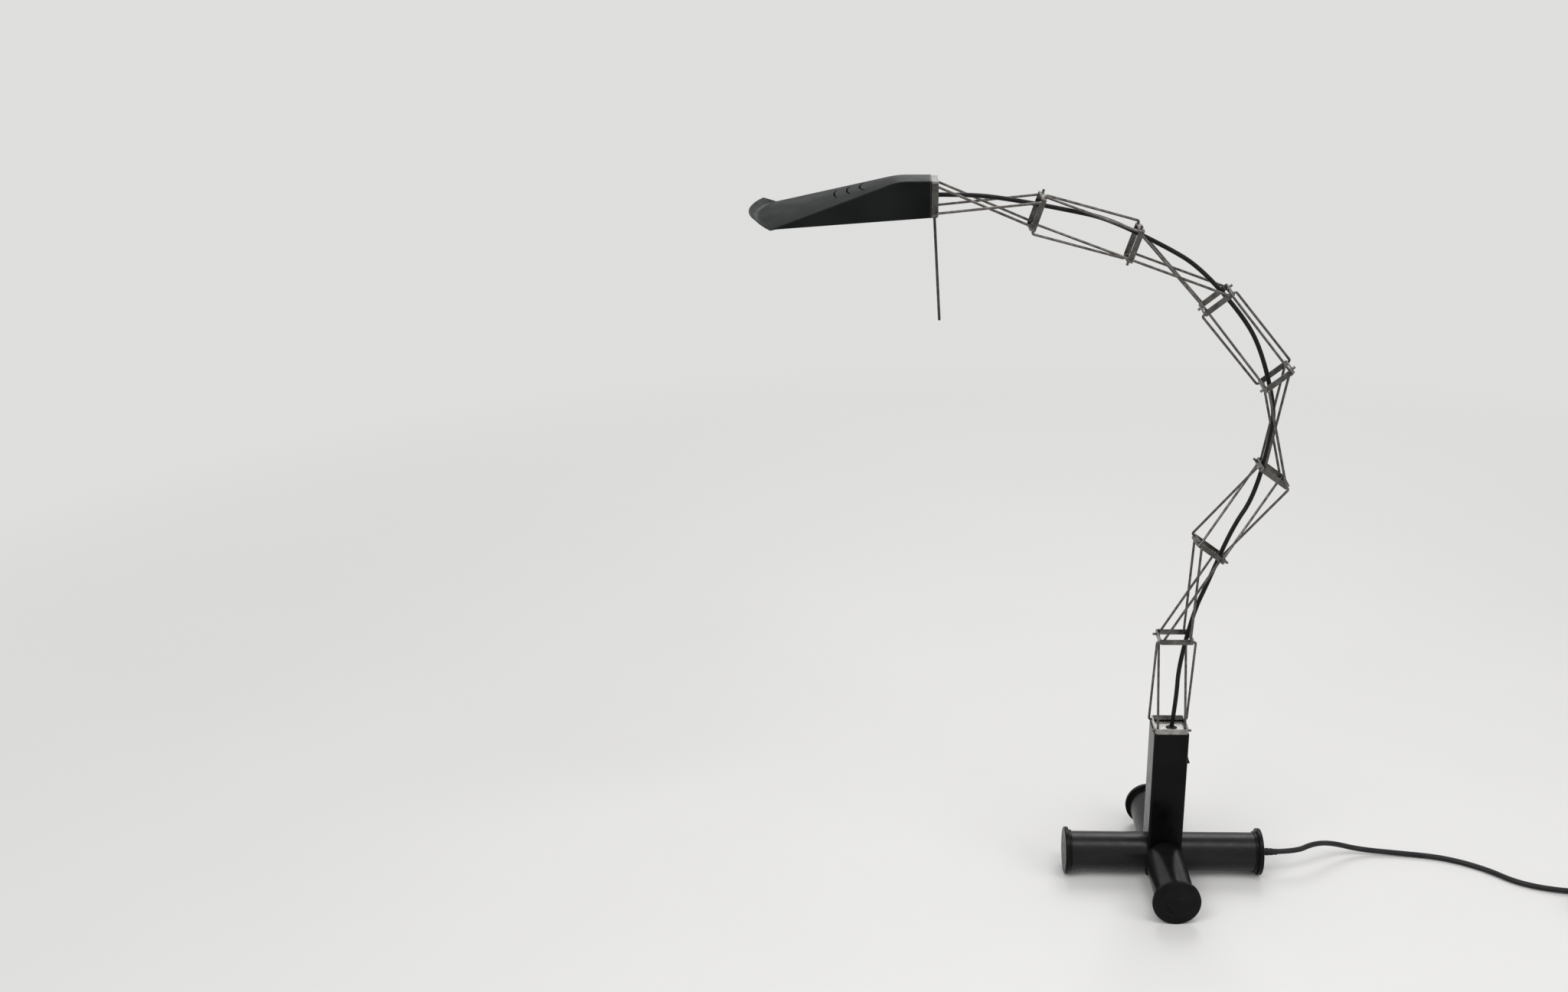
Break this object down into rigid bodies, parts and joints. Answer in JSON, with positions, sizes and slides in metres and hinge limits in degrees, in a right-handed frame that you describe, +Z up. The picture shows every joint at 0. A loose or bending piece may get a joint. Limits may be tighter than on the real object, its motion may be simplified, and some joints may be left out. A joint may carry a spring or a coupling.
{
  "type": "accordion desk lamp",
  "caption": "Desk lamp on a cross base with a square post, an accordion arm of strip frames and crossed wire rods, and a fan-shaped sheet shade.",
  "frame": {"origin": "on the table, under the middle of the square post and of the cross base", "axes": "+Z up, +X out of the leg that the mains cord leaves, -X towards the head"},
  "size_m": [1.0701, 0.2642, 0.8257],
  "materials": {
    "black_paint": "semi-gloss black stove enamel",
    "cap_black": "glossy black moulded plastic",
    "steel_bright": "bright nickel plate",
    "steel_plate": "plain zinc-plated steel",
    "ballast_iron": "plain bar",
    "cord_black": "black cable sheath, slightly glossy",
    "moulded_black": "satin black moulding",
    "terminal_white": "off-white insulator",
    "shade_paint": "dark grey satin paint outside, lighter inside",
    "ceramic_white": "white glazed ceramic",
    "bulb_glass": "clear quartz capsule",
    "pin_metal": "nickel-plated brass"
  },
  "bodies": {
    "base": {"post": "black_paint", "bottom_cover": "black_paint", "top_plate": "steel_plate", "grommet": "moulded_black", "switch_body": "moulded_black", "terminal_block": "terminal_white", "post_wiring": "cord_black", "leg_right": "black_paint", "leg_rear": "black_paint", "leg_left": "black_paint", "leg_front": "black_paint", "leg_caps": "cap_black", "cord_cap": "cap_black", "ballast_bars": "ballast_iron", "frame_0": "steel_bright", "strain_relief": "moulded_black", "mains_cord": "cord_black", "cord_coil": "cord_black", "coil_tie": "moulded_black", "plug": "moulded_black", "plug_pins": "pin_metal"},
    "outer_rods_1": {"outer_rods_1": "steel_bright", "arm_cable_1": "cord_black"},
    "frame_1": {"frame_1": "steel_bright"},
    "inner_rods_1": {"inner_rods_1": "steel_bright"},
    "outer_rods_2": {"outer_rods_2": "steel_bright", "arm_cable_2": "cord_black"},
    "frame_2": {"frame_2": "steel_bright"},
    "inner_rods_2": {"inner_rods_2": "steel_bright"},
    "outer_rods_3": {"outer_rods_3": "steel_bright", "arm_cable_3": "cord_black"},
    "frame_3": {"frame_3": "steel_bright"},
    "inner_rods_3": {"inner_rods_3": "steel_bright"},
    "outer_rods_4": {"outer_rods_4": "steel_bright", "arm_cable_4": "cord_black"},
    "frame_4": {"frame_4": "steel_bright"},
    "inner_rods_4": {"inner_rods_4": "steel_bright"},
    "outer_rods_5": {"outer_rods_5": "steel_bright", "arm_cable_5": "cord_black"},
    "frame_5": {"frame_5": "steel_bright"},
    "inner_rods_5": {"inner_rods_5": "steel_bright"},
    "outer_rods_6": {"outer_rods_6": "steel_bright", "arm_cable_6": "cord_black"},
    "frame_6": {"frame_6": "steel_bright"},
    "inner_rods_6": {"inner_rods_6": "steel_bright"},
    "outer_rods_7": {"outer_rods_7": "steel_bright", "arm_cable_7": "cord_black"},
    "frame_7": {"frame_7": "steel_bright"},
    "inner_rods_7": {"inner_rods_7": "steel_bright"},
    "outer_rods_8": {"outer_rods_8": "steel_bright", "arm_cable_8": "cord_black"},
    "head": {"frame_8": "steel_bright", "head_bulkhead": "black_paint", "shade": "shade_paint", "lampholder": "ceramic_white", "bulb": "bulb_glass", "head_lead": "cord_black", "head_handle": "steel_bright"},
    "inner_rods_8": {"inner_rods_8": "steel_bright"},
    "rocker": {"switch_rocker": "cap_black"}
  },
  "joints": [
    {"name": "cell_1_bend", "type": "hinge", "parent": "base", "child": "outer_rods_1", "pos_m": [0, 0.0143, 0.1935], "axis": [-1, 0, 0], "range_deg": [-15.5, 15.3], "deforming": ["arm_cable_1"]},
    {"name": "cell_1_frame", "type": "hinge", "parent": "outer_rods_1", "child": "frame_1", "pos_m": [0, -0.00974, 0.30228], "axis": [-1, 0, 0], "range_deg": [-15.24, 15.04]},
    {"name": "cell_1_cross", "type": "hinge", "parent": "base", "child": "inner_rods_1", "pos_m": [0, -0.0143, 0.1935], "axis": [-1, 0, 0], "range_deg": [-15.24, 15.04]},
    {"name": "cell_2_bend", "type": "hinge", "parent": "frame_1", "child": "outer_rods_2", "pos_m": [0.0143, 0.00469, 0.30327], "axis": [0, -0.9965, 0.0837], "range_deg": [-14.6, 15.6], "deforming": ["arm_cable_2"]},
    {"name": "cell_2_frame", "type": "hinge", "parent": "outer_rods_2", "child": "frame_2", "pos_m": [0.0215, 0.014, 0.41405], "axis": [0, -0.9965, 0.0837], "range_deg": [-12.39, 13.23]},
    {"name": "cell_2_cross", "type": "hinge", "parent": "frame_1", "child": "inner_rods_2", "pos_m": [-0.0143, 0.00469, 0.30327], "axis": [0, -0.9965, 0.0837], "range_deg": [-12.39, 13.23]},
    {"name": "cell_3_bend", "type": "hinge", "parent": "frame_2", "child": "outer_rods_3", "pos_m": [0.0344, 0.0277, 0.40632], "axis": [0.8121, -0.0488, -0.5815], "range_deg": [-15.9, 14.3], "deforming": ["arm_cable_3"]},
    {"name": "cell_3_frame", "type": "hinge", "parent": "outer_rods_3", "child": "frame_3", "pos_m": [0.09642, 0.0017, 0.49512], "axis": [0.8121, -0.0488, -0.5815], "range_deg": [-16.27, 14.64]},
    {"name": "cell_3_cross", "type": "hinge", "parent": "frame_2", "child": "inner_rods_3", "pos_m": [0.0344, -0.0008, 0.40871], "axis": [0.8121, -0.0488, -0.5815], "range_deg": [-16.27, 14.64]},
    {"name": "cell_4_bend", "type": "hinge", "parent": "frame_3", "child": "outer_rods_4", "pos_m": [0.11006, 0.01524, 0.48844], "axis": [0.0519, 0.9986, -0.0114], "range_deg": [-0.9, 26.5], "deforming": ["arm_cable_4"]},
    {"name": "cell_4_frame", "type": "hinge", "parent": "outer_rods_4", "child": "frame_4", "pos_m": [0.08386, 0.01784, 0.59668], "axis": [0.0519, 0.9986, -0.0114], "range_deg": [-1.19, 33.7]},
    {"name": "cell_4_cross", "type": "hinge", "parent": "frame_3", "child": "inner_rods_4", "pos_m": [0.08683, 0.01664, 0.50507], "axis": [0.0519, 0.9986, -0.0114], "range_deg": [-1.19, 33.7]},
    {"name": "cell_5_bend", "type": "hinge", "parent": "frame_4", "child": "outer_rods_5", "pos_m": [0.09426, 0.03174, 0.60728], "axis": [-0.7727, 0.0329, -0.6339], "range_deg": [-14.1, 15.8], "deforming": ["arm_cable_5"]},
    {"name": "cell_5_frame", "type": "hinge", "parent": "outer_rods_5", "child": "frame_5", "pos_m": [0.02486, 0.00606, 0.69055], "axis": [-0.7727, 0.0329, -0.6339], "range_deg": [-14.22, 15.93]},
    {"name": "cell_5_cross", "type": "hinge", "parent": "frame_4", "child": "inner_rods_5", "pos_m": [0.09278, 0.00318, 0.60761], "axis": [-0.7727, 0.0329, -0.6339], "range_deg": [-14.22, 15.93]},
    {"name": "cell_6_bend", "type": "hinge", "parent": "frame_5", "child": "outer_rods_6", "pos_m": [0.03499, 0.01991, 0.70148], "axis": [-0.0331, -0.9994, -0.0115], "range_deg": [-14.2, 13.1], "deforming": ["arm_cable_6"]},
    {"name": "cell_6_frame", "type": "hinge", "parent": "outer_rods_6", "child": "frame_6", "pos_m": [-0.06959, 0.02293, 0.73975], "axis": [-0.0331, -0.9994, -0.0115], "range_deg": [-16.45, 15.18]},
    {"name": "cell_6_cross", "type": "hinge", "parent": "frame_5", "child": "inner_rods_6", "pos_m": [0.01289, 0.02085, 0.68336], "axis": [-0.0331, -0.9994, -0.0115], "range_deg": [-16.45, 15.18]},
    {"name": "cell_7_bend", "type": "hinge", "parent": "frame_6", "child": "outer_rods_7", "pos_m": [-0.06678, 0.03698, 0.75419], "axis": [0.3095, -0.0212, 0.9507], "range_deg": [-16, 13.9], "deforming": ["arm_cable_7"]},
    {"name": "cell_7_frame", "type": "hinge", "parent": "outer_rods_7", "child": "frame_7", "pos_m": [-0.16962, 0.00951, 0.78706], "axis": [0.3095, -0.0212, 0.9507], "range_deg": [-16.13, 14.02]},
    {"name": "cell_7_cross", "type": "hinge", "parent": "frame_6", "child": "inner_rods_7", "pos_m": [-0.06773, 0.00839, 0.75386], "axis": [0.3095, -0.0212, 0.9507], "range_deg": [-16.13, 14.02]},
    {"name": "cell_8_bend", "type": "hinge", "parent": "frame_7", "child": "outer_rods_8", "pos_m": [-0.16729, 0.02349, 0.80165], "axis": [-0.0001, 0.9998, 0.0223], "range_deg": [-13.8, 14.9], "deforming": ["arm_cable_8"]},
    {"name": "cell_8_frame", "type": "hinge", "parent": "outer_rods_8", "child": "head", "pos_m": [-0.27814, 0.02373, 0.79057], "axis": [-0.0001, 0.9998, 0.0223], "range_deg": [-15.02, 16.22]},
    {"name": "cell_8_cross", "type": "hinge", "parent": "frame_7", "child": "inner_rods_8", "pos_m": [-0.17614, 0.0241, 0.77446], "axis": [-0.0001, 0.9998, 0.0223], "range_deg": [-15.02, 16.22]},
    {"name": "switch", "type": "hinge", "parent": "base", "child": "rocker", "pos_m": [0.02, 0, 0.1555], "axis": [0, 1, 0], "range_deg": [0, 18]}
  ],
  "couplings": [
    {"joint": "cell_1_frame", "follows": "cell_1_bend", "ratio": 0.98},
    {"joint": "cell_1_cross", "follows": "cell_1_bend", "ratio": 0.98},
    {"joint": "cell_2_frame", "follows": "cell_2_bend", "ratio": 0.845},
    {"joint": "cell_2_cross", "follows": "cell_2_bend", "ratio": 0.845},
    {"joint": "cell_3_frame", "follows": "cell_3_bend", "ratio": 1.02},
    {"joint": "cell_3_cross", "follows": "cell_3_bend", "ratio": 1.02},
    {"joint": "cell_4_frame", "follows": "cell_4_bend", "ratio": 1.27},
    {"joint": "cell_4_cross", "follows": "cell_4_bend", "ratio": 1.27},
    {"joint": "cell_5_frame", "follows": "cell_5_bend", "ratio": 1.005},
    {"joint": "cell_5_cross", "follows": "cell_5_bend", "ratio": 1.005},
    {"joint": "cell_6_frame", "follows": "cell_6_bend", "ratio": 1.155},
    {"joint": "cell_6_cross", "follows": "cell_6_bend", "ratio": 1.155},
    {"joint": "cell_7_frame", "follows": "cell_7_bend", "ratio": 1.005},
    {"joint": "cell_7_cross", "follows": "cell_7_bend", "ratio": 1.005},
    {"joint": "cell_8_frame", "follows": "cell_8_bend", "ratio": 1.085},
    {"joint": "cell_8_cross", "follows": "cell_8_bend", "ratio": 1.085}
  ]
}
